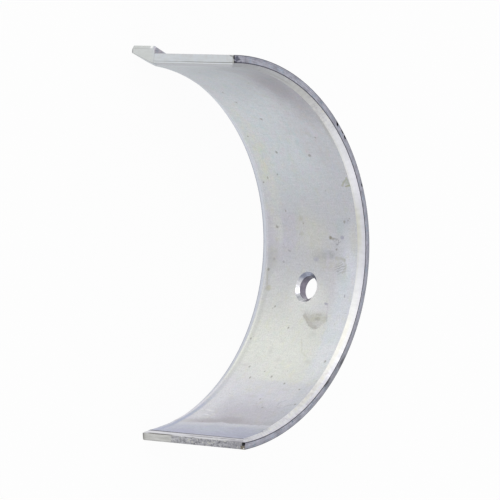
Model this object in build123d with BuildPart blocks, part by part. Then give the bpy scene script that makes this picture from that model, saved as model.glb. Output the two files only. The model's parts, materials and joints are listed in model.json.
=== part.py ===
"""Engine bearing shell: one half of the split plain bearing in a connecting rod's big end.

It is one strip of steel, lined in the bore, bent to a half circle and cut to length.
The shell is shown free, before it is fitted, so it is sprung open a little wider than its seat.

The bore's axis is Z. The crown is at +Y, the bore opens towards -Y, and the origin is on the
axis at half the width. The shell stands on its lower end face. Its locating tang is at that
end too, on the -X joint face.
"""
import os
from math import cos, degrees, radians, sin

from build123d import *

# The shell, in millimetres and degrees
seat_diameter = 48.0        # bore of the closed rod, which the shell is pressed into
wall = 1.5                  # steel back and bearing lining together
width = 18.5                # along the bore's axis
end_angle = 86.87           # from the crown to each joint face while free: 90 once it is fitted

# The chamfers where the bore meets the two end faces, cut a little off the bore's axis
chamfer_crown = 0.72        # into the wall, at the crown
chamfer_tang_joint = 0.47   # into the wall, beside the tang's joint face
chamfer_plain_joint = 0.56  # into the wall, beside the other joint face
upper_chamfer_length = 0.7  # along the axis
lower_chamfer_length = 1.3

# The chamfers where the bore meets the two joint faces
joint_chamfer_tang = 0.25
joint_chamfer_plain = 0.45

# The oil hole
oil_hole_angle = 16.1       # from the crown, away from the tang
oil_hole_diameter = 3.0
oil_hole_mouth = 3.85       # rim of the countersink in the bore
countersink_angle = 90.0

# The tang: the strip's corner, sheared and pressed outwards, which keys the shell in its seat
tang_width = 4.15
tang_rise = 0.95            # above the shell's back
tang_runout = 2.4           # length of its slope along the back
tang_bevel = 0.4            # along its front edge
tang_corner = 0.25          # rounding of its free corner
recess_width = 4.5          # the sloping flat that the press leaves in the bore
recess_runout = 4.6         # its length along the bore

outer_radius = seat_diameter / 2 * 90 / end_angle
inner_radius = outer_radius - wall
mean_radius = outer_radius - wall / 2
top_face = width / 2
bottom_face = -width / 2

os.makedirs("parts", exist_ok=True)


def around(radius, angle):
    """Point on a circle about the bore's axis, turned from the crown towards +X."""
    return (radius * sin(radians(angle)), radius * cos(radians(angle)))


def turn(length, radius):
    """Angle that a length takes up along a circle."""
    return degrees(length / radius)


with BuildPart() as bearing_shell:
    # The bent strip, with joint faces that point at the bore's axis
    with BuildSketch(Plane.XY.offset(bottom_face)):
        with BuildLine():
            back = CenterArc((0, 0), outer_radius, 90 - end_angle, 2 * end_angle)
            bore = CenterArc((0, 0), inner_radius, 90 - end_angle, 2 * end_angle)
            Line(back @ 0, bore @ 0)
            Line(back @ 1, bore @ 1)
        make_face()
    extrude(amount=width)

    # Joint chamfers, on the two inner edges of the four that run along the width
    joint_edges = bearing_shell.edges().filter_by(Axis.Z).sort_by(Axis.X)
    chamfer(joint_edges[1], joint_chamfer_tang)
    chamfer(joint_edges[2], joint_chamfer_plain)

    # End chamfers: each widens from a circle of the bore to a larger one in the end face,
    # set off centre. Both circles are carried on into the bore by the chamfer's own length.
    chamfer_joint = (chamfer_tang_joint + chamfer_plain_joint) / 2
    mouth_radius = inner_radius + chamfer_joint
    mouth_shift = Vector((chamfer_plain_joint - chamfer_tang_joint) / 2, chamfer_crown - chamfer_joint)
    for end_face, foot in (
        (top_face, top_face - upper_chamfer_length),
        (bottom_face, bottom_face + lower_chamfer_length),
    ):
        with BuildSketch(Plane.XY.offset(end_face)):
            with Locations(mouth_shift):
                Circle(mouth_radius)
        with BuildSketch(Plane.XY.offset(2 * foot - end_face)):
            with Locations(-mouth_shift):
                Circle(2 * inner_radius - mouth_radius)
        loft(mode=Mode.SUBTRACT)

    # The oil hole is drilled from the bore at half the width
    hole_point = Vector(*around(inner_radius, oil_hole_angle))
    with Locations(Plane(hole_point, x_dir=(0, 0, 1), z_dir=-hole_point)):
        CounterSinkHole(
            radius=oil_hole_diameter / 2,
            counter_sink_radius=oil_hole_mouth / 2,
            depth=2 * wall,
            counter_sink_angle=countersink_angle,
        )

    # The tang's outside: a wedge on the back, highest at the joint face
    runout_angle = turn(tang_runout, outer_radius) - end_angle
    with BuildSketch(Plane.XY.offset(bottom_face)):
        with BuildLine():
            Polyline(
                around(mean_radius, -end_angle),
                around(outer_radius + tang_rise - tang_bevel, -end_angle),
                around(outer_radius + tang_rise, turn(tang_bevel, outer_radius) - end_angle),
                around(outer_radius, runout_angle),
                around(mean_radius, runout_angle),
                close=True,
            )
        make_face()
    extrude(amount=tang_width)
    free_edges = bearing_shell.edges(Select.LAST).group_by(Axis.Z)[0].sort_by(Axis.X)
    fillet(free_edges[:2], tang_corner)

    # The tang's inside: a flat that slopes from the strip's outer corner to the bore
    corner = Vector(*around(outer_radius, -end_angle), bottom_face)
    across_end = Vector(*around(inner_radius, -end_angle), bottom_face + recess_width)
    along_end = Vector(*around(inner_radius, turn(recess_runout, inner_radius) - end_angle), bottom_face)
    middle = (corner + across_end + along_end) / 3
    inwards = (along_end - corner).cross(across_end - corner)
    with BuildSketch(Plane(middle, z_dir=inwards)):
        Circle(max(recess_width, recess_runout))
    extrude(amount=2 * wall, mode=Mode.SUBTRACT)

bearing_shell.part.label = "bearing_shell"
export_step(bearing_shell.part, "parts/bearing_shell.step")
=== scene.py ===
"""The looks of an engine bearing shell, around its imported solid.

Lengths are in metres. The bore's axis is Z, the crown is at +Y and the tang is at -X, at the
lower end. Angles about the bore are counted from the crown towards +X.
"""
import json
import math

import bmesh
import bpy
from mathutils import Matrix, Vector, noise


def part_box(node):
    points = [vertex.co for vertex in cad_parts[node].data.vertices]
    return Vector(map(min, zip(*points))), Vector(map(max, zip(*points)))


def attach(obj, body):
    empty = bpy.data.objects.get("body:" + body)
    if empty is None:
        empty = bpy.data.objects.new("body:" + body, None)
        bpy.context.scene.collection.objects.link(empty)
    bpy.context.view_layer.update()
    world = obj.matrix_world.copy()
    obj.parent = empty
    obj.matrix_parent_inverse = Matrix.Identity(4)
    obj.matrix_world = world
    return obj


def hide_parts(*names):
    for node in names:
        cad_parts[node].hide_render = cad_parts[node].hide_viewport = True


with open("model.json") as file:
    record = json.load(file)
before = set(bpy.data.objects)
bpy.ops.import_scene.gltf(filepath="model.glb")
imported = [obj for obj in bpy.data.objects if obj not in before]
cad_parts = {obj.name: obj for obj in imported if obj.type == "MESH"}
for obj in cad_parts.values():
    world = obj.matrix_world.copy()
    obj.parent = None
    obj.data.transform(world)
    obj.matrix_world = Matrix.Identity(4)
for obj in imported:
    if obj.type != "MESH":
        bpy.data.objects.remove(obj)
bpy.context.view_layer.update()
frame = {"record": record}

# The bent strip. It is one piece of steel with a thin lining bonded to its inside, bent to a
# half circle and trimmed at its two joint faces. Cutting tools left the chamfers round the
# bore, and the press that sheared the plain end left half of that face torn.
mm = 0.001
mounts = {mount["name"]: mount for mount in frame["record"]["mounts"]}
bore_radius = mounts["journal_bore"]["dims"]["r_mm"] * mm
back_radius = Vector(mounts["back_in_rod_bore"]["pos_m"]).length
wall = back_radius - bore_radius
bottom_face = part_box("bearing_shell")[0].z
top_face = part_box("bearing_shell")[1].z
joint_normal = mounts["joint_face_plain_side"]["axis"]
end_angle = math.atan2(-joint_normal[1], joint_normal[0])

chamfer_crown = 0.72 * mm
chamfer_tang_joint = 0.47 * mm
chamfer_plain_joint = 0.56 * mm
upper_chamfer_foot = top_face - 0.7 * mm
lower_chamfer_foot = bottom_face + 1.3 * mm
joint_chamfer_tang = 0.25 * mm
joint_chamfer_plain = 0.40 * mm
edge_round = 0.07 * mm
relief_step = 0.05 * mm
relief_depth = 0.16 * mm
# The line where the relief starts, in mm along the bore from the crown
relief_start = 30.5
relief_lean = 0.08
relief_dip = 0.42
relief_ramp = 0.5

torn_from = bottom_face + 5.2 * mm
torn_start = 0.4 * mm
torn_edge = 0.10 * mm
torn_edge_wave = 0.5 * mm
torn_depth = 0.05 * mm
torn_wave = 0.35 * mm
torn_reach = 0.3 * mm
lower_round = 0.22 * mm


def around(radius, angle, height=0.0):
    return Vector((radius * math.sin(angle), radius * math.cos(angle), height))


def chamfer_depth(angle):
    middle = (chamfer_tang_joint + chamfer_plain_joint) / 2
    towards_plain = (chamfer_plain_joint - chamfer_tang_joint) / 2
    return middle + (chamfer_crown - middle) * math.cos(angle) + towards_plain * math.sin(angle)


def end_chamfer(angle, height):
    upper = (height - upper_chamfer_foot) / (top_face - upper_chamfer_foot)
    lower = (height - lower_chamfer_foot) / (bottom_face - lower_chamfer_foot)
    return chamfer_depth(angle) * max(upper, lower, 0.0)


def relief_line(along, across):
    """How far a place in the bore, in mm, is past the line where the plain end's relief starts."""
    return along + across * relief_lean - relief_start + relief_dip / (across * across * 1.6 + 1.0)


def bore_relief(angle, height):
    past = max(relief_line(angle * bore_radius / mm, height / mm), 0.0)
    slope_length = end_angle * bore_radius / mm - relief_start
    deeper = (relief_depth - relief_step) * past / slope_length
    return relief_step * min(past / relief_ramp, 1.0) + deeper


def rounding(distance, size=edge_round):
    """How far an edge rounded to this size falls back at this distance from its face."""
    inset = size - min(max(distance, 0.0), size)
    return size - math.sqrt(size**2 - inset**2)


# One column up the bore at the tang's joint, drawn outwards to the strip's cross section
shell_mesh = bmesh.new()
column_top = shell_mesh.verts.new(around(bore_radius, -end_angle, bottom_face))
for next_height, rows in (
    (bottom_face + edge_round, 3),
    (bottom_face + lower_round, 2),
    (lower_chamfer_foot, 5),
    (upper_chamfer_foot, 62),
    (top_face - edge_round, 4),
    (top_face, 3),
):
    row = (next_height - column_top.co.z) / rows
    for step in range(rows):
        column_top = bmesh.ops.extrude_vert_indiv(shell_mesh, verts=[column_top])["verts"][0]
        column_top.co.z += row
strip = shell_mesh.edges[:]
layers = 8
for _ in range(layers):
    strip_parts = bmesh.ops.extrude_edge_only(shell_mesh, edges=strip)["geom"]
    strip = [part for part in strip_parts if isinstance(part, bmesh.types.BMEdge)]
    strip_verts = [part for part in strip_parts if isinstance(part, bmesh.types.BMVert)]
    bmesh.ops.translate(shell_mesh, verts=strip_verts, vec=around(wall / layers, -end_angle))
joint_sheet = shell_mesh.verts[:] + shell_mesh.edges[:] + shell_mesh.faces[:]
round_turn = edge_round / bore_radius
tang_turn = joint_chamfer_tang / bore_radius
plain_turn = joint_chamfer_plain / bore_radius
long_turn = 2 * end_angle - tang_turn - plain_turn
for turn, steps in (
    (round_turn, 3),
    (tang_turn - round_turn, 2),
    (long_turn, 290),
    (plain_turn - round_turn, 3),
    (round_turn, 3),
):
    joint_sheet = bmesh.ops.spin(
        shell_mesh, geom=joint_sheet, cent=(0, 0, 0), axis=(0, 0, -1), angle=turn, steps=steps
    )["geom_last"]
bmesh.ops.recalc_face_normals(shell_mesh, faces=shell_mesh.faces[:])

for vert in shell_mesh.verts:
    radius = math.hypot(vert.co.x, vert.co.y)
    angle = math.atan2(vert.co.x, vert.co.y)
    height = vert.co.z
    share = (radius - bore_radius) / wall
    from_tang_joint = (angle + end_angle) * bore_radius
    from_plain_joint = (end_angle - angle) * bore_radius
    relief = bore_relief(angle, height)
    inner = bore_radius + max(
        end_chamfer(angle, height),
        joint_chamfer_tang - from_tang_joint,
        relief + max(joint_chamfer_plain - from_plain_joint, 0.0),
    )
    outer = back_radius - max(
        rounding(height - bottom_face, lower_round),
        rounding(top_face - height),
        rounding(from_tang_joint),
        rounding(from_plain_joint),
    )
    # The torn part of the plain joint face is uneven, and so is its outer edge
    torn = min(max((height - torn_from) / torn_start, 0.0), 1.0)
    if from_plain_joint < edge_round:
        ragged = 0.5 + 0.5 * noise.noise(around(1.0, 0.0, height) / torn_edge_wave)
        rounded = max(rounding(from_plain_joint), rounding(height - bottom_face, lower_round))
        outer = back_radius - rounded * (1 - torn) - torn_edge * torn * ragged
    radius = inner + share * (outer - inner)
    place = around(radius, angle, height)
    # The hollows fade out behind the face, so that no wall folds over the next
    torn *= max(1 - from_plain_joint / torn_reach, 0.0)
    hollow = max(0.5 + noise.noise(place / torn_wave), 0.0)
    place -= Vector(joint_normal) * torn_depth * torn * hollow
    vert.co = place


def as_piece(name, mesh):
    data = bpy.data.meshes.new(name)
    mesh.to_mesh(data)
    mesh.free()
    piece = bpy.data.objects.new(name, data)
    bpy.context.scene.collection.objects.link(piece)
    return piece


def carve(piece, tool, operation):
    """Joins a tool's shape to a piece, or cuts it out, and removes the tool."""
    change = piece.modifiers.new(operation.lower(), "BOOLEAN")
    change.operation = operation
    change.object = tool
    change.solver = "EXACT"
    changed = piece.evaluated_get(bpy.context.evaluated_depsgraph_get())
    piece.data = bpy.data.meshes.new_from_object(changed)
    piece.modifiers.clear()
    bpy.data.objects.remove(tool)


shell = as_piece("bearing_shell_finished", shell_mesh)

# The tang, which keys the shell in a notch of its seat. It is the strip's corner, sheared
# across the width and pressed outwards, so it slopes back to the shell's outside and leaves a
# slanting flat in the bore behind it.
recess_width = 4.5 * mm
recess_runout = 4.6 * mm
tang_width = 4.15 * mm
tang_rise = 0.935 * mm
tang_runout = 2.4 * mm
tang_bevel = 0.35 * mm
tang_bevel_depth = 0.2 * mm
tang_corner = 0.2 * mm
tang_root = back_radius - wall * 0.8

tang_mesh = bmesh.new()
ramp_end = tang_runout / back_radius - end_angle
tang_outline = [
    tang_mesh.verts.new(around(radius, angle, bottom_face))
    for radius, angle in (
        (tang_root, -end_angle),
        (back_radius + tang_rise - tang_bevel, -end_angle),
        (back_radius + tang_rise, tang_bevel_depth / back_radius - end_angle),
        (back_radius, ramp_end),
        (tang_root, ramp_end),
    )
]
tang_side = tang_mesh.faces.new(tang_outline)
tang_parts = bmesh.ops.extrude_face_region(tang_mesh, geom=[tang_side])["geom"]
bmesh.ops.translate(
    tang_mesh,
    verts=[part for part in tang_parts if isinstance(part, bmesh.types.BMVert)],
    vec=(0, 0, tang_width),
)
bmesh.ops.recalc_face_normals(tang_mesh, faces=tang_mesh.faces[:])
tang_free_edges = [
    edge
    for edge in tang_mesh.edges
    if abs(edge.verts[0].co.z - edge.verts[1].co.z) < 1e-7
    and max(vert.co.xy.length for vert in edge.verts) > back_radius + tang_rise * 0.99
]
bmesh.ops.bevel(
    tang_mesh,
    geom=tang_free_edges,
    offset=tang_corner,
    affect="EDGES",
    segments=5,
    profile=0.5,
    material=-1,
)
carve(shell, as_piece("tang", tang_mesh), "UNION")

recess_corner = around(back_radius, -end_angle, bottom_face)
recess_across = around(bore_radius, -end_angle, bottom_face + recess_width)
recess_along = around(bore_radius, recess_runout / bore_radius - end_angle, bottom_face)
recess_inwards = (recess_along - recess_corner).cross(recess_across - recess_corner).normalized()
if recess_inwards.dot(recess_corner) > 0:
    recess_inwards.negate()
recess_mesh = bmesh.new()
recess_size = 14 * mm
bmesh.ops.create_cube(recess_mesh, size=recess_size)
bmesh.ops.transform(
    recess_mesh,
    matrix=Matrix.Translation(recess_corner + recess_inwards * recess_size / 2)
    @ recess_inwards.to_track_quat("Z", "Y").to_matrix().to_4x4(),
    verts=recess_mesh.verts[:],
)
carve(shell, as_piece("recess", recess_mesh), "DIFFERENCE")

# The oil hole, drilled from the bore and countersunk there.
oil_hole = mounts["oil_hole"]
hole_direction = Vector(oil_hole["axis"])
hole_angle = math.atan2(hole_direction.x, hole_direction.y)
hole_radius = oil_hole["dims"]["r_mm"] * mm
hole_along = hole_angle * bore_radius / mm
hole_mouth = 1.925 * mm
drill_depth = 6 * mm
sink_tip = 0.5 * mm
drill_mesh = bmesh.new()
bmesh.ops.create_cone(
    drill_mesh,
    cap_ends=True,
    segments=96,
    radius1=hole_radius,
    radius2=hole_radius,
    depth=drill_depth,
)
turn_drill = hole_direction.to_track_quat("Z", "Y").to_matrix().to_4x4()
stand_drill = Matrix.Translation(around(bore_radius, hole_angle)) @ turn_drill
bmesh.ops.transform(drill_mesh, matrix=stand_drill, verts=drill_mesh.verts[:])
carve(shell, as_piece("drill", drill_mesh), "DIFFERENCE")
sink_mesh = bmesh.new()
sink_depth = 2 * (hole_mouth - sink_tip)
bmesh.ops.create_cone(
    sink_mesh,
    cap_ends=True,
    segments=96,
    radius1=hole_mouth + sink_depth / 2,
    radius2=hole_mouth - sink_depth / 2,
    depth=sink_depth,
)
bmesh.ops.transform(sink_mesh, matrix=stand_drill, verts=sink_mesh.verts[:])
carve(shell, as_piece("countersink", sink_mesh), "DIFFERENCE")

# Nicks and torn spots: along the edge of the upper end face, and at its two corners where
# the strip was cut to length. Each is a small hollow knocked out of the steel. A row gives its
# radius, its angle in degrees and its height, three half sizes, and how far it is turned.
nicks = (
    (24.64, -37.7, 9.25, 0.36, 0.13, 0.20, -19),
    (24.72, -34.5, 9.25, 0.33, 0.08, 0.10, 0),
    (24.70, -32.6, 9.25, 0.28, 0.12, 0.12, -10),
    (24.72, -16.4, 9.25, 0.24, 0.11, 0.12, -8),
    (23.90, -86.3, 9.25, 0.46, 0.11, 0.20, 8),
    (24.55, -87.0, 9.25, 0.16, 0.30, 0.14, 0),
    (24.08, 87.0, 9.25, 0.20, 0.24, 0.26, 0),
    (24.86, 85.9, 9.25, 0.22, 0.10, 0.12, 0),
)
nick_roughness = 0.03
nick_grain = 0.08
nick_mesh = bmesh.new()
for radius, angle, height, half_along, half_out, half_up, turned in nicks:
    angle = math.radians(angle)
    hollow = bmesh.ops.create_icosphere(nick_mesh, subdivisions=3, radius=mm)["verts"]
    bmesh.ops.scale(nick_mesh, verts=hollow, vec=(half_along, half_out, half_up))
    for vert in hollow:
        rough = noise.noise(vert.co / (nick_grain * mm))
        vert.co += vert.co.normalized() * nick_roughness * mm * rough
    turn = Matrix.Rotation(math.radians(turned) - angle, 3, "Z")
    bmesh.ops.rotate(nick_mesh, verts=hollow, matrix=turn)
    bmesh.ops.translate(nick_mesh, verts=hollow, vec=around(radius * mm, angle, height * mm))
# Only the nicks have smooth faces, so that they can be told from the other cuts
for face in nick_mesh.faces:
    face.smooth = True
carve(shell, as_piece("nicks", nick_mesh), "DIFFERENCE")


class Shade:
    """A value or colour of a finish. Python's operators on it add the nodes that work it out."""

    def __init__(self, socket):
        self.socket = socket

    def node(self, kind, settings, inputs, output=0):
        tree = self.socket.id_data
        made = tree.nodes.new(kind)
        for name, setting in settings.items():
            setattr(made, name, setting)
        for name, value in inputs.items():
            if isinstance(value, Shade):
                tree.links.new(value.socket, made.inputs[name])
            else:
                made.inputs[name].default_value = value
        return Shade(made.outputs[output])

    def maths(self, operation, first, second=0.0):
        return self.node("ShaderNodeMath", {"operation": operation}, {0: first, 1: second})

    def __add__(self, other):
        return self.maths("ADD", self, other)

    def __sub__(self, other):
        return self.maths("SUBTRACT", self, other)

    def __rsub__(self, other):
        return self.maths("SUBTRACT", other, self)

    def __mul__(self, other):
        return self.maths("MULTIPLY", self, other)

    def __rtruediv__(self, other):
        return self.maths("DIVIDE", other, self)

    def __or__(self, other):
        return self.maths("MAXIMUM", self, other)

    def size(self):
        return self.maths("ABSOLUTE", self)

    def sine(self):
        return self.maths("SINE", self)

    def held(self):
        """Kept between 0 and 1."""
        return self.node("ShaderNodeClamp", {}, {"Value": self})

    def axis(self, name):
        return self.node("ShaderNodeSeparateXYZ", {}, {0: self}, output=name)

    def ease(self, low, high):
        """Rises smoothly from 0 at low to 1 at high, or falls where low is the larger."""
        limits = {"Value": self, "From Min": low, "From Max": high}
        return self.node("ShaderNodeMapRange", {"interpolation_type": "SMOOTHSTEP"}, limits)

    def band(self, middle, half, soft):
        return (self - middle).size().ease(half + soft, half - soft)

    def move(self, operation, other):
        return self.node("ShaderNodeVectorMath", {"operation": operation}, {0: self, 1: other})

    def clouds(self, scale, detail=4.0, rough=0.55):
        """Soft unevenness about 0, mostly between -1 and 1, at this many swells a millimetre."""
        settings = {"Vector": self, "Scale": scale, "Detail": detail, "Roughness": rough}
        return (self.node("ShaderNodeTexNoise", {}, settings) - 0.5) * 4.0

    def layered(self, *layers, blend="MIX"):
        """This colour, with others laid over it in turn, each where its own mask is 1."""
        settings = {"data_type": "RGBA", "blend_type": blend}
        result = self
        for mask, colour in layers:
            over = colour if isinstance(colour, Shade) else (*colour, 1)
            result = self.node("ShaderNodeMix", settings, {0: mask, 6: result, 7: over}, output=2)
        return result

    def tinted(self, mask, colour):
        """This colour, with another over it where the mask is 1."""
        return self.layered((mask, colour))

    def washed(self, mask, tint):
        """This colour, multiplied by a tint where the mask is 1."""
        return self.layered((mask, tint), blend="MULTIPLY")

    def flat_rings(self, unevenness):
        """Fine rings round a point, from the distance to it."""
        return self.node("ShaderNodeCombineXYZ", {}, {0: self * 9.0, 1: unevenness}).clouds(1.0, 2.0)

    def scaled(self, value):
        """This colour made lighter or darker by a value about 1."""
        return self.node("ShaderNodeVectorMath", {"operation": "SCALE"}, {0: self, "Scale": value})


class Finish:
    """One metal finish and the places that its marks follow, in millimetres on the shell."""

    def __init__(self, name, roughness):
        self.material = bpy.data.materials.new(name)
        self.material.use_nodes = True
        tree = self.material.node_tree
        self.metal = tree.nodes["Principled BSDF"]
        self.metal.inputs["Metallic"].default_value = 1.0
        self.metal.inputs["Roughness"].default_value = roughness
        coordinates = Shade(tree.nodes.new("ShaderNodeTexCoord").outputs["Object"])
        self.place = coordinates.scaled(1 / mm)
        x = self.place.node("ShaderNodeSeparateXYZ", {}, {0: self.place}, output="X")
        y = Shade(x.socket.node.outputs["Y"])
        self.across = Shade(x.socket.node.outputs["Z"])
        self.angle = x.maths("ARCTAN2", x, y)
        self.along = self.angle * (bore_radius / mm)
        self.radius = x.maths("SQRT", x * x + y * y)
        self.bore_map = self.flat(self.along, self.across)
        self.face_map = self.flat(self.along, self.radius)

    def flat(self, right, up):
        return right.node("ShaderNodeCombineXYZ", {}, {0: right, 1: up})

    def grain(self, fine_along, fine_across, detail=3.0):
        stretched = self.flat(self.along * fine_along, (self.across + self.radius) * fine_across)
        return stretched.clouds(1.0, detail)

    def colour(self, red, green, blue):
        return self.place.node("ShaderNodeCombineColor", {}, {0: red, 1: green, 2: blue})

    def finish(self, colour, roughness=None, bump=None, height=0.01):
        tree = self.material.node_tree
        tree.links.new(colour.socket, self.metal.inputs["Base Color"])
        if roughness:
            tree.links.new(roughness.socket, self.metal.inputs["Roughness"])
        if bump:
            relief = bump.node(
                "ShaderNodeBump", {}, {"Height": bump, "Strength": 1.0, "Distance": height * mm}
            )
            tree.links.new(relief.socket, self.metal.inputs["Normal"])
        shell.data.materials.append(self.material)


shell.data.materials.clear()

# The lining in the bore: a soft grey bearing alloy, rolled on and bored. It is paler past the
# hole, bluish at the plain joint where a wavy line bounds it, and stained and spotted all over.
lining = Finish("lining", 0.4)
drift = lining.bore_map.node(
    "ShaderNodeTexNoise", {}, {"Vector": lining.bore_map, "Scale": 1.3, "Detail": 5.0}, output=1
)
# The stains' places are shaken a little, so that no edge of theirs runs straight
stain_map = lining.bore_map.move("ADD", drift.move("SUBTRACT", (0.5, 0.5, 0.5)).scaled(0.4))
wander = stain_map.clouds(0.22, 4.0)
mottle = lining.bore_map.clouds(1.6, 4.0, 0.7)
speckle = lining.bore_map.clouds(5.0, 3.0, 0.7)
grain = lining.grain(6.0, 0.5)
ripples = lining.flat(lining.along * 3.0, lining.across * 0.8).clouds(1.0, 3.0, 0.6)
tint_clouds = lining.bore_map.move("ADD", (40, 0, 0)).clouds(0.7, 4.0, 0.65)
teal_clouds = lining.bore_map.move("ADD", (0, 70, 0)).clouds(0.8, 3.0, 0.6)
fleck_clouds = lining.bore_map.move("ADD", (0, 40, 0)).clouds(1.8, 2.0, 0.6)
along = stain_map.axis("X") + wander * 0.5


def reach(point_map, middle, half_size=(1, 1)):
    """Distance from a point of the lining, in half sizes of an oval about it."""
    offset = point_map.move("SUBTRACT", (*middle, 0)).move("DIVIDE", (*half_size, 1))
    return offset.node("ShaderNodeVectorMath", {"operation": "LENGTH"}, {0: offset}, output=1)


def patch(middle, half_size, soft=0.6, wobble=0.2):
    """A stain: 1 inside an oval of this half size, with an uneven soft edge."""
    uneven = wander * wobble + mottle * 0.2
    return (reach(stain_map, middle, half_size) + uneven).ease(1 + soft, 1 - soft)


def inside(sides, soft=0.06):
    """A stain with straight sides, each given by its direction outwards and its distance."""
    furthest = None
    for turned, distance in sides:
        outwards = (math.cos(math.radians(turned)), math.sin(math.radians(turned)), 0)
        beyond = stain_map.node(
            "ShaderNodeVectorMath", {"operation": "DOT_PRODUCT"}, {0: stain_map, 1: outwards}, output=1
        )
        beyond = beyond - distance
        furthest = beyond | furthest if furthest else beyond
    return furthest.ease(soft, -soft)


def stroke(points, half_width, soft=0.08):
    """A thin stained line through some points of the lining."""
    marks = None
    for start, end in zip(points, points[1:]):
        run = Vector((*end, 0)) - Vector((*start, 0))
        from_start = stain_map.move("SUBTRACT", (*start, 0))
        share = from_start.node(
            "ShaderNodeVectorMath",
            {"operation": "DOT_PRODUCT"},
            {0: from_start, 1: run / run.length_squared},
            output=1,
        )
        foot = from_start.node(
            "ShaderNodeVectorMath", {"operation": "SCALE"}, {0: run, "Scale": share.held()}
        )
        mark = reach(from_start.move("SUBTRACT", foot), (0, 0)).ease(half_width + soft, half_width)
        marks = mark | marks if marks else mark
    return marks


# Broad changes of tone: dark and lilac towards the tang, pale past the hole, then lilac again
dark_end = patch((-25.8, 6.9), (6.7, 4.2), 0.8, 0.5) * (mottle * 0.2 + ripples * 0.2 + 0.85)
lilac_side = inside(((0, 3.3), (180, 3.0), (90, -2.5), (45, -1.1)), 0.25)
edge_marks = patch((1.95, -3.7), (0.14, 0.3), 0.5) | patch((3.4, -4.7), (0.14, 0.22), 0.6) * 0.8
edge_marks = edge_marks | patch((3.2, -6.4), (0.2, 0.2), 0.5)
tone_line = lining.along + mottle * 0.35
surface = lining.colour(0.53, 0.535, 0.57)
surface = surface.layered(
    (along.ease(-23.0, -31.0), (0.455, 0.485, 0.515)),
    (patch((-14.5, -1.5), (9.5, 9.0)), (0.59, 0.62, 0.65)),
    (patch((-26.0, -2.5), (5.5, 5.5)) * 0.7, (0.485, 0.515, 0.55)),
    (patch((-29.5, -2.0), (2.0, 3.4)) * 0.5, (0.42, 0.45, 0.48)),
    (dark_end, (0.375, 0.37, 0.405)),
    (patch((-24.0, 6.2), (3.6, 1.8), 0.7, 0.5) * 0.5, (0.35, 0.335, 0.37)),
    (patch((-7.0, 6.6), (6.5, 2.2), 0.5) * 0.5, (0.53, 0.54, 0.58)),
    (along.ease(1.0, 13.0), (0.70, 0.71, 0.68)),
    (patch((-0.4, 0.2), (2.6, 2.6), 0.9, 0.6) * 0.6, (0.595, 0.60, 0.545)),
    (patch((16.5, -2.0), (4.5, 9.0), 0.7), (0.775, 0.79, 0.745)),
    (patch((8.2, 0.4), (2.6, 3.0), 0.5) * 0.6, (0.75, 0.76, 0.74)),
    (patch((9.5, 7.4), (9.0, 2.2), 0.5) * 0.9, (0.67, 0.69, 0.74)),
    (patch((15.5, 7.2), (4.5, 2.0), 0.6) * 0.8, (0.77, 0.79, 0.81)),
    (lilac_side * 0.85, (0.535, 0.53, 0.58)),
    (patch((-0.6, -5.4), (1.9, 0.5), 0.7) * 0.6, (0.60, 0.62, 0.61)),
    (edge_marks * 0.6, (0.33, 0.33, 0.34)),
    (tone_line.ease(19.9, 20.9) * 0.6, (0.655, 0.655, 0.715)),
    ((along + mottle * 0.5).ease(20.5, 25.0), (0.65, 0.65, 0.70)),
    (patch((20.6, -5.2), (2.6, 3.4)) * 0.5, (0.74, 0.74, 0.77)),
    (patch((27.6, 2.5), (3.0, 7.0)), (0.565, 0.555, 0.605)),
    (patch((26.8, 7.9), (7.0, 1.2)) * 0.4, (0.53, 0.56, 0.61)),
    (patch((25.0, -5.8), (5.5, 1.8), 0.5) * 0.6, (0.72, 0.72, 0.75)),
)

# The bore is relieved towards the plain joint, up to a wavy line with a shade before it
relief_mark = relief_line(lining.along, lining.across) + mottle * 0.10 + speckle * 0.03
shade_side = patch((29.5, 1.2), (1.0, 3.2), 0.6, 0.5) | patch((30.1, -2.8), (0.9, 2.4), 0.6, 0.5)
shade_side = shade_side * relief_mark.ease(0.08, -0.2) * (mottle * 0.3 + 0.45)
wiped = lining.flat(lining.along * 3.0 - lining.across * 0.5, lining.across * 0.5).clouds(1.0, 3.0)
smudge = patch((28.2, -4.4), (1.5, 1.4), 0.6, 0.5)
relief_tint = relief_mark.ease(1.5, 4.0) * (tint_clouds * 0.5 + 0.85)
violet = patch((31.7, 4.4), (0.9, 1.4)) * 0.4 | patch((34.2, -3.1), (1.0, 1.6)) * 0.6
surface = surface.layered(
    (relief_mark.ease(-1.8, -0.1) * 0.5, (0.47, 0.455, 0.49)),
    (shade_side, (0.38, 0.355, 0.385)),
    (smudge * wiped.ease(-0.3, 0.9) * 0.8, (0.84, 0.84, 0.85)),
    (relief_mark.ease(-0.05, 0.15), (0.63, 0.635, 0.69)),
    (relief_mark.ease(0.1, 1.6), (0.525, 0.545, 0.63)),
    (relief_tint, (0.46, 0.475, 0.60)),
)
surface = surface.scaled(relief_mark.ease(1.0, 2.0) * (ripples * 0.05 + mottle * 0.03) + 1)
surface = surface.layered(
    (violet * (mottle * 0.3 + 0.8), (0.45, 0.45, 0.61)),
    (patch((32.8, 0.3), (1.2, 1.6)) * 0.4, (0.54, 0.58, 0.64)),
    (relief_mark.ease(0.1, 0.6) * wiped.ease(0.4, 1.2) * 0.35, (0.72, 0.73, 0.78)),
)

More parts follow.
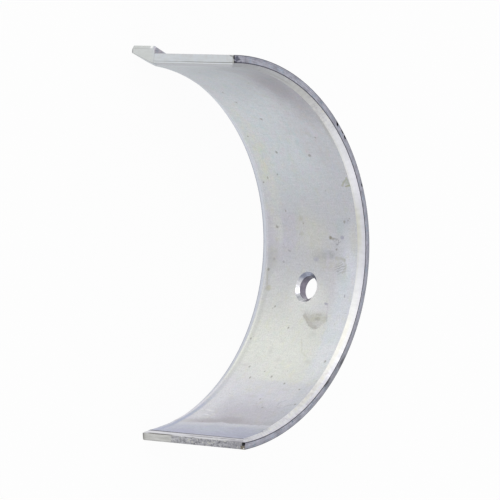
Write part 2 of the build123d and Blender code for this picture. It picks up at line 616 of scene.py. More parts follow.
# Stains of old oil round the hole: a leaf past it, a smudge and a striped arch before it
leaf = inside(((0, 12.08), (-35.2, 7.95), (39.7, 11.65), (107.1, 1.69)), 0.12)
leaf = leaf * stain_map.axis("X").ease(9.3, 10.4)
leaf_foot = ((10.4, 0.9), (11.3, 2.0), (11.85, 2.9), (11.95, 3.5))
leaf_rim = ((10.3, 0.6), (11.45, 1.95), (12.02, 3.0), (12.05, 3.6), (11.75, 4.2))
leaf_grain = (stain_map.axis("X") * 14.0 + stain_map.axis("Y") * 1.5 + mottle * 2.0).sine()
leaf_stain = patch((10.6, 3.1), (0.6, 1.9), 0.8, 0.5) * (leaf_grain * 0.25 + 0.4)
leaf_top = stroke(((8.6, 4.35), (9.1, 4.6), (9.9, 4.75), (10.9, 5.0)), 0.03, 0.15)
brown_side = patch((3.7, 3.5), (0.8, 1.0), 0.7, 0.5) * (leaf_grain * 0.15 + 0.35)
arch = patch((3.85, 5.6), (0.72, 0.95), 0.35, 0.15)
arch_strands = (stain_map.axis("X") * 18.0 + stain_map.axis("Y") * 6.0 + mottle * 3.0).sine()
arch_leg = stroke(((2.6, 4.8), (2.6, 5.6), (2.8, 6.3)), 0.1, 0.25)
arch_top = stroke(((2.8, 6.35), (3.4, 6.6), (4.0, 6.5), (4.4, 6.1)), 0.06, 0.2)
hook = ((0.1, 4.5), (0.15, 5.0), (0.45, 5.17), (0.8, 5.0), (0.75, 4.72), (0.4, 4.62), (0.15, 4.8))
hook_tail = stroke(((0.2, 4.1), (0.9, 4.7), (0.35, 5.6)), 0.02, 0.09)
blob = patch((0.0, 3.75), (0.22, 0.26), 0.4, 0.1) | patch((0.05, 4.2), (0.15, 0.32), 0.5, 0.1) * 0.7
specks = patch((-2.35, 7.0), (0.5, 0.5), 0.5) * speckle.ease(0.0, 0.5)
surface = surface.layered(
    (patch((9.2, 3.2), (0.5, 1.3)) * 0.4, (0.66, 0.655, 0.71)),
    (leaf * 0.6, (0.565, 0.56, 0.55)),
    (leaf * leaf_stain, (0.50, 0.50, 0.45)),
    (patch((10.7, 3.3), (0.2, 0.5), 0.6, 0.4) * 0.5, (0.40, 0.40, 0.36)),
    (stroke(((10.15, 3.9), (10.1, 2.9)), 0.03, 0.1) * 0.4, (0.36, 0.36, 0.34)),
)
surface = surface.scaled(leaf * leaf_grain * 0.03 + 1)
surface = surface.layered(
    (stroke(leaf_foot, 0.08, 0.35) * 0.55, (0.43, 0.41, 0.38)),
    (stroke(leaf_rim, 0.03, 0.10) * (mottle * 0.2 + 0.4), (0.42, 0.41, 0.38)),
    (leaf_top * 0.35, (0.47, 0.46, 0.50)),
    (patch((8.55, 4.1), (0.14, 0.34), 0.5) * 0.75, (0.37, 0.37, 0.45)),
    (patch((2.2, 3.4), (0.5, 1.1), 0.7, 0.3) * 0.75, (0.40, 0.41, 0.425)),
    (patch((2.5, 2.1), (0.6, 1.3), 0.7, 0.4) * 0.6, (0.46, 0.465, 0.46)),
    (patch((2.9, 1.25), (0.26, 0.42), 0.6, 0.3) * 0.65, (0.43, 0.43, 0.50)),
    (brown_side, (0.52, 0.50, 0.46)),
    (arch * (arch_strands * 0.35 + 0.35), (0.36, 0.355, 0.37)),
    (patch((5.0, 5.9), (0.5, 0.7), 0.8, 0.4) * 0.5, (0.52, 0.54, 0.55)),
    (arch_leg * (speckle * 0.4 + mottle * 0.3 + 0.45), (0.42, 0.42, 0.36)),
    (arch_top * (speckle * 0.4 + mottle * 0.3 + 0.4), (0.42, 0.42, 0.39)),
    (stroke(hook, 0.025, 0.09) * 0.65, (0.30, 0.30, 0.33)),
    (hook_tail * 0.5, (0.34, 0.34, 0.37)),
    (blob * 0.8, (0.23, 0.215, 0.16)),
    (patch((-0.08, 5.85), (0.28, 0.28), 0.5, 0.4) * 0.75, (0.32, 0.31, 0.40)),
    (patch((7.4, 7.15), (0.22, 0.16), 0.5) * 0.65, (0.35, 0.34, 0.40)),
    (specks * 0.6, (0.30, 0.29, 0.27)),
    (patch((-1.6, 5.6), (1.2, 0.7), 0.7, 0.5) * 0.6, (0.475, 0.53, 0.55)),
    (patch((0.0, 7.8), (1.4, 0.7), 0.7, 0.5) * 0.5, (0.545, 0.55, 0.50)),
    (patch((5.6, 6.9), (0.9, 0.6), 0.7, 0.5) * 0.4, (0.60, 0.66, 0.68)),
    (patch((13.2, 6.9), (0.9, 1.4), 0.7, 0.5) * 0.4, (0.66, 0.73, 0.76)),
)

# Lilac and olive shading in the tang's half and beside the oil hole
lilac_shade = patch((-16.0, 4.6), (5.0, 3.0), 0.8, 0.7) * (speckle * 0.3 + tint_clouds * 0.4 + 0.4)
lilac_streaks = patch((6.3, 4.7), (2.6, 0.45), 0.8, 0.4) | patch((3.5, 3.3), (2.0, 0.3), 0.8, 0.4)
olive_drip = patch((3.0, -6.5), (1.3, 0.8), 0.8, 0.7) * (speckle * 0.5 + 0.3)
surface = surface.tinted(lilac_shade, (0.525, 0.51, 0.55))
surface = surface.scaled(1 - patch((-4.5, -0.5), (4.5, 5.0), 0.8, 0.6) * 0.03)
surface = surface.scaled(1 - patch((12.8, 3.0), (2.0, 3.5), 0.8, 0.6) * 0.025)
surface = surface.layered(
    (lilac_streaks * 0.35, (0.60, 0.575, 0.66)),
    (patch((7.5, 6.2), (2.5, 0.5), 0.8, 0.4) * 0.3, (0.60, 0.66, 0.71)),
    (olive_drip, (0.44, 0.44, 0.37)),
)

# Olive marks along the upper chamfer and the far edge, and a few scratches and faint marks
triangle = stroke(((-7.05, 7.05), (-8.1, 8.2), (-7.1, 8.4)), 0.06, 0.16) * 0.6
triangle = triangle | stroke(((-6.95, 7.6), (-7.05, 8.4)), 0.04, 0.09)
triangle = triangle | patch((-7.5, 7.9), (0.3, 0.3)) * 0.4
olive_side = patch((-10.5, -6.0), (8.0, 1.3), 0.7, 0.6) * (mottle * 0.4 + tint_clouds * 0.4 + 0.5)
scratches = stroke(((13.6, 1.8), (14.6, 2.4), (15.6, 2.9), (16.2, 4.2)), 0.03, 0.15)
curls = stroke(((23.7, 6.0), (24.4, 5.2), (25.2, 5.3), (25.5, 6.2)), 0.03, 0.1)
curls = curls | stroke(((24.3, 8.1), (24.7, 7.0), (25.4, 6.6)), 0.03, 0.1)
surface = surface.layered(
    (triangle, (0.36, 0.37, 0.27)),
    (patch((-15.5, 8.3), (2.4, 0.3), 0.8) * 0.3, (0.42, 0.41, 0.33)),
    (patch((-2.3, -1.45), (0.4, 0.35), 0.6) * 0.5, (0.45, 0.44, 0.36)),
    (patch((-0.4, -1.4), (0.35, 0.3), 0.6) * 0.4, (0.47, 0.46, 0.39)),
    (patch((7.0, -6.7), (0.35, 0.5), 0.5, 0.5) * 0.55, (0.48, 0.475, 0.35)),
    (stroke(((4.7, -7.5), (6.5, -7.2)), 0.05, 0.2) * 0.35, (0.46, 0.46, 0.37)),
    (olive_side, (0.615, 0.625, 0.565)),
    (scratches * 0.25, (0.52, 0.52, 0.44)),
    (curls * 0.45, (0.42, 0.43, 0.47)),
)
faint_marks = (
    (15.6, -2.7, 0.5, 0.3), (17.0, -0.5, 0.3, 0.5), (16.9, 4.8, 0.3, 0.6), (14.1, -1.5, 0.3, 0.4),
    (18.2, -5.8, 0.3, 0.6), (23.5, -0.5, 0.3, 0.6), (24.5, 2.2, 0.3, 0.5), (22.8, 2.2, 0.25, 0.5),
    (21.8, 4.2, 0.25, 0.6), (24.3, -3.6, 0.3, 0.7), (12.9, 3.4, 0.3, 0.6), (-6.4, 2.2, 0.3, 0.4),
)
faint = None
for mark_along, mark_across, half_long, half_wide in faint_marks:
    mark = patch((mark_along, mark_across), (half_long, half_wide), 0.9, 0.8)
    faint = mark | faint if faint else mark
surface = surface.tinted(faint * (speckle * 0.4 + mottle * 0.2 + 0.25), (0.48, 0.48, 0.46))

# The far edge of the lining: a darker band of painted shade where it rolls over, with a painted
# highlight for its rim
rolled_edge_shade = lining.across.band(-7.15, 0.35, 0.3) * along.ease(-4.0, 10.0)
surface = surface.scaled(1 - rolled_edge_shade * 0.10)
surface = surface.tinted(rolled_edge_shade * along.ease(20.0, 31.0) * 0.9, (0.42, 0.46, 0.60))
surface = surface.scaled(lining.across.band(-7.75, 0.1, 0.12) * 0.12 + 1)

# Spots where dirt was pressed into the soft metal, and small pits between them
spots = (
    (-11.2, 2.9, 0.21), (-17.0, -2.4, 0.18), (-11.5, -2.95, 0.17), (-22.4, -5.1, 0.15),
    (-20.2, -4.6, 0.13), (-3.3, -4.1, 0.15), (-1.1, -5.9, 0.17), (-14.1, 5.5, 0.12),
    (-8.2, -4.2, 0.13), (9.4, -4.9, 0.13), (12.15, -1.3, 0.15), (19.7, 0.13, 0.16),
    (20.7, 3.2, 0.15), (20.2, -3.4, 0.17), (18.4, -4.8, 0.14), (18.9, -1.6, 0.11),
    (-1.7, -1.1, 0.13), (-7.7, -6.2, 0.14), (16.65, 7.8, 0.16), (-2.2, 6.4, 0.17),
    (1.47, 4.79, 0.15), (-7.0, -7.2, 0.13), (-0.3, -1.8, 0.10), (14.1, -7.2, 0.12),
    (9.6, -5.2, 0.10), (-13.9, -6.9, 0.12), (21.5, 6.5, 0.15), (25.6, 3.2, 0.13),
    (23.9, 1.3, 0.10), (-25.3, 1.9, 0.12), (4.55, -7.3, 0.18), (-29.0, -3.5, 0.12),
    (24.4, 8.1, 0.15), (30.4, -3.2, 0.12), (-2.4, 7.1, 0.10), (-2.7, 7.3, 0.08),
)
dots = None
for spot_along, spot_across, spot_size in spots:
    from_spot = reach(stain_map, (spot_along, spot_across)) + speckle * 0.05
    dot = from_spot.ease(spot_size * 1.6, spot_size * 0.4)
    dots = dot | dots if dots else dot
pits = lining.bore_map.move("ADD", (0, 90, 0)).clouds(2.0, 2.0, 0.6)
crowded = wander.ease(-1.0, 0.6) | lining.along.band(25.5, 3.0, 2.0)
small_pits = lining.bore_map.move("ADD", (90, 0, 0)).clouds(4.0, 2.0, 0.6)
surface = surface.layered(
    (dots * 0.6, (0.22, 0.21, 0.17)),
    (pits.ease(0.65, 1.05) * crowded * 0.45, (0.32, 0.32, 0.31)),
    (small_pits.ease(0.6, 1.0) * crowded * 0.35, (0.32, 0.32, 0.33)),
)

# Rings that the countersink's burr left when it was wiped off
hole_distance = reach(lining.bore_map, (hole_along, 0))
ring_lines = hole_distance.flat_rings(mottle)
surface = surface.scaled(ring_lines * hole_distance.ease(3.4, 2.2) * 0.06 + 1)

# The alloy's own clouds of warmer and cooler grey, and its fine unevenness, over all of it
towards_tang = lining.along.ease(0.0, -12.0) * 0.6 + 0.4
unevenness = grain * 0.03 + ripples * 0.04 + speckle * 0.14 + mottle * 0.05 + wander * 0.02
surface = surface.layered(
    (tint_clouds.ease(0.0, 0.9), (1.0, 1.0, 0.93)),
    (tint_clouds.ease(-0.1, -0.9), (1.0, 0.98, 1.03)),
    (teal_clouds.ease(0.0, 0.9) * towards_tang, (0.925, 0.985, 0.98)),
    (teal_clouds.ease(-0.1, -0.9) * towards_tang, (1.03, 0.97, 0.99)),
    (fleck_clouds.ease(0.1, 1.0) * towards_tang, (0.95, 1.0, 1.01)),
    (fleck_clouds.ease(-0.1, -1.0) * towards_tang, (1.03, 0.98, 1.0)),
    blend="MULTIPLY",
)
surface = surface.scaled(lining.along.band(24.0, 3.0, 3.0) * 0.035 + 1)
surface = surface.scaled(unevenness + 1.005)
lining.finish(surface, bump=grain + speckle * 0.5, height=0.004)

# The chamfers, turned bright with a cutting tool at both ends of the bore, the lower one dimmed by
# painted shade
mouth_middle = (chamfer_tang_joint + chamfer_plain_joint) / 2 / mm
mouth_plain = (chamfer_plain_joint - chamfer_tang_joint) / 2 / mm
mouth_crown = chamfer_crown / mm - mouth_middle
chamfer = Finish("chamfer", 0.42)
turned = chamfer.grain(0.4, 9.0)
streaks = chamfer.grain(1.6, 0.4, 4.0)
flecks = chamfer.bore_map.clouds(2.0, 4.0, 0.7)
brown_line = (chamfer.across + flecks * 0.04).band(8.80, 0.03, 0.10)
brown_line = brown_line * chamfer.along.band(-26.5, 1.8, 1.5)
outer_half = (chamfer.across + flecks * 0.06).ease(8.95, 9.12)
foot_line = (chamfer.across + flecks * 0.03).ease(8.74, 8.62)
near_crown = chamfer.along.ease(-21.0, -15.0) * chamfer.along.ease(8.0, 4.0)
blotched = chamfer.along.band(-19.0, 3.5, 3.0) | chamfer.along.ease(15.0, 19.0)
inner_half = (chamfer.across + flecks * 0.08).ease(9.0, 8.8)
past_hole = chamfer.along.ease(9.0, 12.0) * chamfer.along.ease(27.0, 23.0)
bright = chamfer.colour(0.80, 0.805, 0.835)
bright = bright.layered(
    ((chamfer.along + flecks).ease(-13.0, -25.0), (0.67, 0.67, 0.66)),
    (chamfer.along.ease(-22.5, -27.0), (0.635, 0.64, 0.655)),
    (chamfer.along.band(-7.5, 2.5, 2.5), (0.90, 0.90, 0.94)),
    (chamfer.along.band(11.8, 4.5, 3.0) * 0.8, (0.70, 0.70, 0.68)),
    (brown_line * 0.5, (0.36, 0.35, 0.30)),
)
bright = bright.scaled(chamfer.along.band(-8.0, 2.5, 3.0) * 0.04 + 1)
bright = bright.scaled(chamfer.along.ease(28.0, 32.5) * 0.09 + 1)
bright = bright.scaled(1 - chamfer.along.band(-20.0, 3.0, 3.0) * 0.05)
bright = bright.tinted(chamfer.along.ease(21.0, 29.0), (0.93, 0.935, 0.965))
bright = bright.layered(
    (outer_half * chamfer.along.ease(-20.0, -5.0), (0.97, 0.96, 1.0)),
    (foot_line * near_crown * 0.4, (0.88, 0.88, 0.77)),
    (blotched * flecks.ease(0.0, 0.9), (0.93, 0.91, 0.80)),
    (blotched * flecks.ease(-0.1, -1.0), (0.98, 0.91, 0.97)),
    (inner_half * past_hole, (0.99, 0.975, 0.92)),
    (inner_half * chamfer.along.band(-1.5, 2.5, 1.5), (0.97, 0.965, 0.875)),
    blend="MULTIPLY",
)
# Painted highlights: white streaks on the outer half of the chamfer past the hole
bright = bright.tinted(past_hole * streaks.ease(0.3, 1.0) * (1 - inner_half) * 0.8, (0.98, 0.98, 1.0))
bright = bright.scaled(blotched * (flecks * 0.15 + streaks * 0.06) + 1)
# Painted shade: the lower chamfer darker and bluer, darkest at its edge by the table
bright = bright.layered(
    (chamfer.across.ease(0.0, -6.0), (0.60, 0.63, 0.70)),
    (chamfer.across.ease(-8.85, -9.1) * 0.7, (0.26, 0.28, 0.35)),
)
bright = bright.scaled(turned * 0.03 + streaks * 0.06 + flecks * 0.03 + 1)
chamfer.finish(bright, bump=turned, height=0.003)

# The chamfers along the joints, filed by hand: bright with dark edges and painted glints
filed = Finish("filed_chamfer", 0.35)
file_marks_and_glints = filed.flat(filed.across * 0.7, filed.radius * 6.0).clouds(1.0, 4.0)
plain_side = filed.angle.ease(-0.1, 0.1)
lower_half = filed.radius.ease(23.74, 23.80) * plain_side
lower_shade = filed.across.ease(-3.2, -4.4) * filed.across.ease(-8.6, -7.8)
dark_foot = lower_half * lower_shade * filed.radius.ease(23.80, 23.87)
split_line = (filed.radius + file_marks_and_glints * 0.03).band(23.72, 0.035, 0.05) * file_marks_and_glints.ease(-1.0, 0.0)
split_line = split_line * filed.across.ease(-2.5, 0.5) * plain_side
worn_end = filed.across.ease(4.5, 7.5) * plain_side
# Painted highlights: a gleam low on the plain side's chamfer, and glints on its file marks
low_gleam = filed.radius.ease(23.80, 23.85) * filed.across.ease(0.0, 3.0) * file_marks_and_glints.ease(-0.6, 0.3)
silver = filed.colour(0.74, 0.735, 0.77).scaled(file_marks_and_glints * 0.08 + 1)
silver = silver.layered(
    (filed.angle.ease(0.1, -0.1), (0.50, 0.51, 0.54)),
    (plain_side * filed.radius.ease(23.64, 23.55) * 0.85, (0.10, 0.10, 0.13)),
    (lower_half * 0.7, (0.62, 0.62, 0.65)),
    (dark_foot, (0.13, 0.12, 0.11)),
    (split_line * 0.8, (0.12, 0.115, 0.13)),
    (worn_end * filed.radius.ease(23.80, 23.86) * 0.85, (0.30, 0.29, 0.33)),
    (low_gleam * plain_side * (1 - worn_end) * 0.7, (0.80, 0.80, 0.80)),
    (file_marks_and_glints.ease(0.9, 1.5) * plain_side * 0.6, (0.95, 0.95, 0.97)),
)
filed.finish(silver, bump=file_marks_and_glints, height=0.01)

# The end faces: bare steel strip, dull blue-grey and streaked by the rolls, with painted shade at its
# edges
end_face = Finish("end_face", 0.45)
rolled = end_face.flat(end_face.along * 0.8, end_face.radius * 8.0).clouds(1.0, 4.0)
blotches = end_face.face_map.clouds(0.9, 4.0, 0.7)
dirt = end_face.face_map.move("ADD", (30, 0, 0)).clouds(1.7, 3.0, 0.6)
on_top = end_face.across.ease(8.8, 9.1)
# Painted shade along the face's outer edge and along its edge with the chamfer
outer_edge_shade = (end_face.radius + blotches * 0.02).ease(back_radius / mm - 0.16, back_radius / mm - 0.06)
second_line = (end_face.radius + blotches * 0.05).band(24.62, 0.02, 0.06)
cosine = end_face.angle.maths("COSINE", end_face.angle)
mouth = cosine * mouth_crown + end_face.angle.sine() * mouth_plain + (bore_radius / mm + mouth_middle)
mouth_edge_shade = (end_face.radius - mouth).ease(0.17, 0.07)
dark_spots = dirt.ease(0.35, 0.9) * (end_face.radius - mouth).ease(0.5, 0.2)
# Painted dark reflections on the upper face, part way from the crown to the plain joint
outer_dark_reflection = (end_face.along + dirt * 0.3).band(15.8, 0.7, 0.5) * end_face.radius.ease(24.25, 24.6)
inner_dark_reflection = (end_face.along + dirt * 0.3).band(19.3, 0.6, 0.5) * end_face.radius.ease(24.55, 24.25)
steel = end_face.colour(0.465, 0.47, 0.54)
steel = steel.scaled(rolled * 0.3 + blotches * 0.35 + 1)
steel = steel.washed(dirt.ease(0.0, 0.8), (0.82, 0.95, 1.0))
steel = steel.washed(dirt.ease(-0.1, -0.8), (1.0, 0.95, 0.98))
steel = steel.scaled(end_face.along.band(-22.5, 3.0, 3.0) * 0.08 + 1)
# More of that painted dark reflection
steel = steel.scaled(1 - end_face.along.band(18.3, 1.5, 2.0) * 0.2)
steel = steel.layered(
    (outer_edge_shade * on_top * 0.8, (0.12, 0.12, 0.16)),
    (second_line * blotches.ease(-0.6, 0.6) * 0.8, (0.20, 0.20, 0.26)),
    (mouth_edge_shade * 0.9, (0.06, 0.055, 0.08)),
    (dark_spots * end_face.along.ease(6.0, 14.0) * 0.7, (0.05, 0.05, 0.07)),
    ((outer_dark_reflection | inner_dark_reflection) * on_top * 0.8, (0.05, 0.05, 0.06)),
    # painted dark reflection, wider and fainter
    (end_face.along.band(16.0, 4.0, 3.0) * 0.25, (0.36, 0.36, 0.38)),
)
# Dirt and painted shadow at its corner by the tang's joint, and smears near it
joint_edge = end_face.along + end_angle * bore_radius / mm
wedge = end_face.radius.ease(23.75, 24.25) * 0.62
corner_dirt_and_shadow = (joint_edge + wedge + dirt * 0.15).ease(0.72, 0.60)
smears = dirt.ease(-0.1, 0.4) * joint_edge.ease(2.6, 1.6) * on_top
flank = (1 - on_top) * end_face.radius.ease(24.86, 24.9)
steel = steel.layered(
    (corner_dirt_and_shadow * on_top * 0.95, (0.02, 0.02, 0.02)),
    (smears * 0.75, (0.09, 0.08, 0.12)),
    (joint_edge.band(1.95, 0.03, 0.07) * on_top * 0.35, (0.12, 0.12, 0.18)),
)
steel = steel.washed(flank, (1.07, 1.02, 0.99))
end_face.finish(steel, bump=rolled, height=0.006)

# The joint face on the tang's side: sawn and ground, pale, with a step line near the bore and a painted
# highlight under it.
# The shears left a dark line where the tang starts.
tang_joint = Finish("tang_joint_face", 0.4)
sawn = tang_joint.flat(tang_joint.across * 0.6, tang_joint.radius * 3.0).clouds(1.0, 4.0)
clouded = tang_joint.place.clouds(1.2, 4.0, 0.65)
shear = (tang_joint.across - (tang_joint.radius - 24.8) * 0.18 + 5.1).band(0.0, 0.02, 0.07)
step = tang_joint.across.ease(-5.4, -5.0) * (tang_joint.across.ease(-1.0, 1.5) * 0.5 + 0.5)
# Painted shade on the tang's lower end, where it meets the table
tang_foot_shade = tang_joint.across.ease(-8.95, -9.2) * tang_joint.radius.ease(24.8, 25.0)
tang_edge = tang_joint.radius.band(25.44, 0.02, 0.03) * tang_joint.across.ease(-5.9, -6.3)
# A painted highlight at the end of the tang's bevel
tang_bevel_highlight = tang_joint.radius.ease(25.48, 25.52) * tang_joint.across.band(-5.75, 0.2, 0.1)
low_edge = (tang_joint.radius + (tang_joint.across + 9.25) * 0.333).band(24.9, 0.02, 0.06)
crack = (tang_joint.radius + clouded * 0.15 + tang_joint.across * 0.35).band(27.75, 0.03, 0.10)
corner_stain = (tang_joint.radius - clouded * 0.1).band(24.0, 0.08, 0.12)
corner_stain = corner_stain * tang_joint.across.ease(7.6, 8.8)
pale = tang_joint.colour(0.635, 0.665, 0.68)
pale = pale.tinted(clouded.ease(-0.4, 0.8) * 0.6, (0.60, 0.63, 0.69))
pale = pale.washed(clouded.ease(0.0, -0.9), (1.0, 0.965, 0.975))
pale = pale.tinted(tang_joint.across.ease(-4.8, -6.0) * 0.6, (0.615, 0.63, 0.60))
pale = pale.scaled(sawn * 0.06 + clouded * 0.05 + 1)
pale = pale.layered(
    (shear * 0.55, (0.25, 0.25, 0.26)),
    (tang_joint.radius.band(23.88, 0.03, 0.04) * step, (0.12, 0.12, 0.12)),
    # A painted highlight just under the step line
    (tang_joint.radius.band(23.78, 0.02, 0.04) * step * 0.6, (0.92, 0.92, 0.94)),
    (tang_foot_shade * 0.7, (0.20, 0.20, 0.22)),
    (tang_joint.radius.ease(23.70, 23.64) * 0.5, (0.30, 0.29, 0.25)),
    (tang_edge * 0.45, (0.28, 0.28, 0.28)),
    (tang_bevel_highlight, (0.95, 0.95, 0.95)),
    (low_edge * tang_joint.across.ease(-4.7, -5.0) * 0.6, (0.25, 0.25, 0.25)),
    (tang_joint.across.ease(8.85, 9.15) * 0.5, (0.30, 0.29, 0.27)),
    (crack * tang_joint.across.ease(8.2, 8.6) * 0.9, (0.10, 0.09, 0.07)),
    (corner_stain * clouded.ease(-0.5, 0.5) * 0.6, (0.32, 0.30, 0.20)),
)
tang_joint.finish(pale, bump=sawn, height=0.006)

# The joint face on the plain side: smooth for a third of the width, then torn by the shears
plain_joint = Finish("plain_joint_face", 0.42)
torn_zone = (plain_joint.across + plain_joint.place.clouds(0.8) * 0.2).ease(-4.3, -3.9)
smooth_lines = plain_joint.flat(plain_joint.across * 0.5, plain_joint.radius * 4.0).clouds(1.0, 3.0)
torn_grit_and_glints = plain_joint.place.clouds(2.2, 5.0, 0.75)
torn_tears = plain_joint.flat(plain_joint.across * 1.6, plain_joint.radius * 3.5).clouds(1.0, 3.0)
torn_shine = plain_joint.place.move("ADD", (20, 0, 0)).clouds(2.2, 3.0, 0.6)
# Black at the upper corner, over the nick there: dirt with painted shadow
corner = (plain_joint.across + torn_tears * 0.06).ease(8.70, 8.84)
corner_top = plain_joint.radius.ease(24.44, 24.34)
oily = (plain_joint.across + torn_tears * 0.1).ease(8.35, 8.6) * (1 - corner_top)
# A painted highlight below the corner
corner_highlight = plain_joint.across.band(9.02, 0.10, 0.06) * plain_joint.radius.band(24.70, 0.05, 0.05)
sheared = plain_joint.colour(0.535, 0.535, 0.52).scaled(smooth_lines * 0.2 + 1)
# Painted shade towards the lower edge, by the table
sheared = sheared.tinted(plain_joint.across.ease(-8.4, -9.2) * 0.5, (0.36, 0.36, 0.33))
torn_metal = plain_joint.colour(0.42, 0.42, 0.45).scaled(torn_grit_and_glints * 0.6 + torn_tears * 0.25 + 1)
torn_metal = torn_metal.washed(torn_grit_and_glints.ease(-0.2, -0.9), (0.85, 0.92, 1.0))
# The shine and the bright specks on the torn metal are painted highlights
torn_metal = torn_metal.layered(
    (torn_shine.ease(0.1, 0.6) * 0.8, (0.72, 0.72, 0.66)),
    (torn_tears.ease(-0.3, -0.8) * 0.8, (0.12, 0.12, 0.15)),
    (torn_grit_and_glints.ease(0.5, 1.0) * 0.7, (0.85, 0.85, 0.76)),
    (plain_joint.across.ease(4.0, 8.0) * 0.4, (0.30, 0.30, 0.34)),
)
sheared = sheared.layered(
    (torn_zone, torn_metal),
    # painted shade, darkest at the lower edge
    (plain_joint.across.ease(-8.9, -9.15) * 0.6, (0.16, 0.16, 0.16)),
    (plain_joint.radius.ease(24.62, 24.82) * 0.25, (0.25, 0.25, 0.27)),
    (corner * corner_top * 0.95, (0.02, 0.02, 0.02)),
    (oily * 0.75, (0.17, 0.14, 0.08)),
    (corner_highlight, (1.0, 1.0, 1.0)),
)
plain_joint.finish(sheared, bump=torn_zone * (torn_grit_and_glints + torn_tears), height=0.05)

# The back, which the seat grips: bare steel, ground round and a little stained
back = Finish("back", 0.38)
ground = back.grain(0.25, 7.0)
stains = back.bore_map.clouds(0.15, 5.0)
bare = back.colour(0.56, 0.56, 0.57)
bare = bare.scaled(ground * 0.06 + 1).tinted(stains.ease(0.3, 1.2) * 0.35, (0.42, 0.41, 0.39))
back.finish(bare, bump=ground, height=0.004)

# The nicks: torn steel with old dirt in it, painted near black for the shade inside them as well
nicked = Finish("nicked", 0.7)
torn_inside = nicked.place.clouds(4.0)
nicked.finish(nicked.colour(0.03, 0.028, 0.03).scaled(torn_inside * 0.5 + 1), bump=torn_inside)

# The oil hole: its drilled wall is dark with painted shade, and the countersink round it is bright
bored = Finish("bored", 0.3)
reach_in = bored.place.node(
    "ShaderNodeVectorMath", {"operation": "DOT_PRODUCT"}, {0: bored.place, 1: hole_direction}, output=1
)
on_axis = bored.place.node(
    "ShaderNodeVectorMath", {"operation": "SCALE"}, {0: tuple(hole_direction), "Scale": reach_in}
)
from_axis = bored.place.node(
    "ShaderNodeVectorMath", {"operation": "DISTANCE"}, {0: bored.place, 1: on_axis}, output=1
)
rings = bored.place.clouds(3.0, 3.0)
# Painted shade on the countersink's side towards the tang, and a painted highlight at its foot opposite
sink_shaded_side = (bored.along - hole_along).ease(-0.5, -1.5)
drilled = from_axis.ease(hole_radius / mm + 0.06, hole_radius / mm + 0.02)
sink_foot_highlight = (bored.along - hole_along).ease(0.9, 1.7) * (1 - drilled)
hole_metal = bored.colour(0.88, 0.88, 0.92)
hole_metal = hole_metal.layered(
    (sink_shaded_side * 0.85, (0.30, 0.33, 0.43)),
    (drilled, (0.29, 0.27, 0.33)),
    (drilled * sink_shaded_side, (0.07, 0.07, 0.10)),
)
hole_metal = hole_metal.scaled(sink_foot_highlight * 0.5 + 1)
bored.finish(hole_metal.scaled(rings * 0.25 + 1), bump=rings, height=0.012)

# Each face takes the finish of the cut that made it, and edges between cuts stay sharp.
# Points that all but coincide are merged first.
finish_mesh = bmesh.new()
finish_mesh.from_mesh(shell.data)
merge_distance = 0.002 * mm
sliver_length = 0.0005 * mm
bmesh.ops.remove_doubles(finish_mesh, verts=finish_mesh.verts[:], dist=merge_distance)
bmesh.ops.dissolve_degenerate(finish_mesh, edges=finish_mesh.edges[:], dist=sliver_length)
finish_mesh.normal_update()
tang_joint_normal = Vector(mounts["joint_face_tang_side"]["axis"])
plain_joint_normal = Vector(joint_normal)
joint_face_depth = 0.2 * mm
sharp_edge = math.radians(25)
names = [material.name for material in shell.data.materials]
for face in finish_mesh.faces:
    middle = face.calc_center_median()
    facing = face.normal
    outwards = facing.dot(Vector((middle.x, middle.y, 0)).normalized())
    from_hole = (middle - hole_direction * middle.dot(hole_direction)).length
    by_hole = middle.dot(hole_direction) > 0 and from_hole < hole_mouth * 1.02
    by_tang = middle.x < -20 * mm and middle.z < bottom_face + tang_width * 1.1
    if by_hole and abs(facing.dot(hole_direction)) < 0.95:
        kind = "bored"
    elif face.smooth:
        kind = "nicked"
    elif abs(facing.z) > 0.9 or (outwards > 0.1 and facing.z > 0.25):
        kind = "end_face"
    elif facing.dot(tang_joint_normal) > 0.8 and abs(middle.dot(tang_joint_normal)) < joint_face_depth:
        kind = "tang_joint_face"
    elif facing.dot(plain_joint_normal) > 0.8 and abs(middle.dot(plain_joint_normal)) < joint_face_depth:
        kind = "plain_joint_face"
    elif outwards > 0.1:
        kind = "back"
    elif outwards < -0.95 or by_tang:
        kind = "lining"
    elif abs(facing.z) < 0.25:
        kind = "filed_chamfer"
    else:
        kind = "chamfer"
    face.material_index = names.index(kind)
    face.smooth = True
for edge in finish_mesh.edges:
    edge.smooth = len(edge.link_faces) == 2 and edge.calc_face_angle() < sharp_edge
finish_mesh.to_mesh(shell.data)
finish_mesh.free()
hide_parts("bearing_shell")
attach(shell, "root")

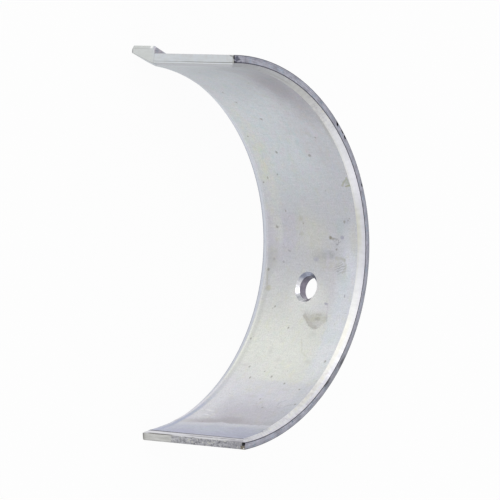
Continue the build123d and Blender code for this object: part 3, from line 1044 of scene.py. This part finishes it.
# The table: a plain white sheet that the shell stands on.
floor_mesh = bmesh.new()
floor_half = 3.0
bmesh.ops.create_grid(floor_mesh, x_segments=1, y_segments=1, size=floor_half)
bmesh.ops.translate(floor_mesh, verts=floor_mesh.verts[:], vec=(0, 0, bottom_face))
floor = as_piece("floor", floor_mesh)
paper = bpy.data.materials.new("paper")
paper.use_nodes = True
matt = paper.node_tree.nodes["Principled BSDF"]
matt.inputs["Base Color"].default_value = (0.8, 0.8, 0.8, 1)
matt.inputs["Roughness"].default_value = 0.9
seen = Shade(paper.node_tree.nodes.new("ShaderNodeLightPath").outputs["Is Camera Ray"])
mirrored = Shade(seen.socket.node.outputs["Is Glossy Ray"])
through = Shade(seen.socket.node.outputs["Is Transmission Ray"])
white = seen.node("ShaderNodeEmission", {}, {"Strength": 1.0})
paper_share = 0.95
white_share = (seen | mirrored | through) * paper_share
sheet = seen.node("ShaderNodeMixShader", {}, {0: white_share, 1: Shade(matt.outputs[0]), 2: white})
paper.node_tree.links.new(sheet.socket, paper.node_tree.nodes["Material Output"].inputs["Surface"])
floor.data.materials.append(paper)

# The light: an even surround, a large soft lamp on the tang's side and a weaker one opposite.
world = bpy.data.worlds.new("surround")
world.use_nodes = True
world.node_tree.nodes["Background"].inputs["Color"].default_value = (1, 1, 1, 1)
world.node_tree.nodes["Background"].inputs["Strength"].default_value = 0.75
bpy.context.scene.world = world


def soft_lamp(name, place, aim, size, power):
    light = bpy.data.lights.new(name, "AREA")
    light.shape = "DISK"
    light.size = size
    light.energy = power
    lamp = bpy.data.objects.new(name, light)
    lamp.location = place
    lamp.rotation_euler = (Vector(aim) - Vector(place)).to_track_quat("-Z", "Y").to_euler()
    bpy.context.scene.collection.objects.link(lamp)
    return lamp


soft_lamp("key", (-0.6, -0.45, 0.65), (0, 0.01, 0), 0.7, 1.6)
soft_lamp("fill", (0.7, -0.4, 0.5), (0, 0.01, 0), 0.6, 0.3)

# The camera looks down into the bore at 45 degrees, turned on its side so that the tang is up.
camera_azimuth = math.radians(-6.874)
camera_elevation = math.radians(45.077)
camera_roll = math.radians(-93.336)
camera_distance = 650.123 * mm
camera_aim = Vector((0.127, 6.247, 6.201)) * mm
camera_lens = 370.675

camera_data = bpy.data.cameras.new("camera")
camera_data.sensor_width = 36.0
camera_data.lens = camera_lens
camera_data.clip_start = 0.01
camera = bpy.data.objects.new("camera", camera_data)
towards_camera = Vector((
    math.sin(camera_azimuth) * math.cos(camera_elevation),
    -math.cos(camera_azimuth) * math.cos(camera_elevation),
    math.sin(camera_elevation),
))
turn_camera = towards_camera.to_track_quat("Z", "Y").to_matrix().to_4x4()
place_camera = Matrix.Translation(camera_aim + towards_camera * camera_distance)
camera.matrix_world = place_camera @ turn_camera @ Matrix.Rotation(-camera_roll, 4, "Z")
bpy.context.scene.collection.objects.link(camera)
bpy.context.scene.camera = camera

bpy.context.scene.view_settings.view_transform = "Standard"
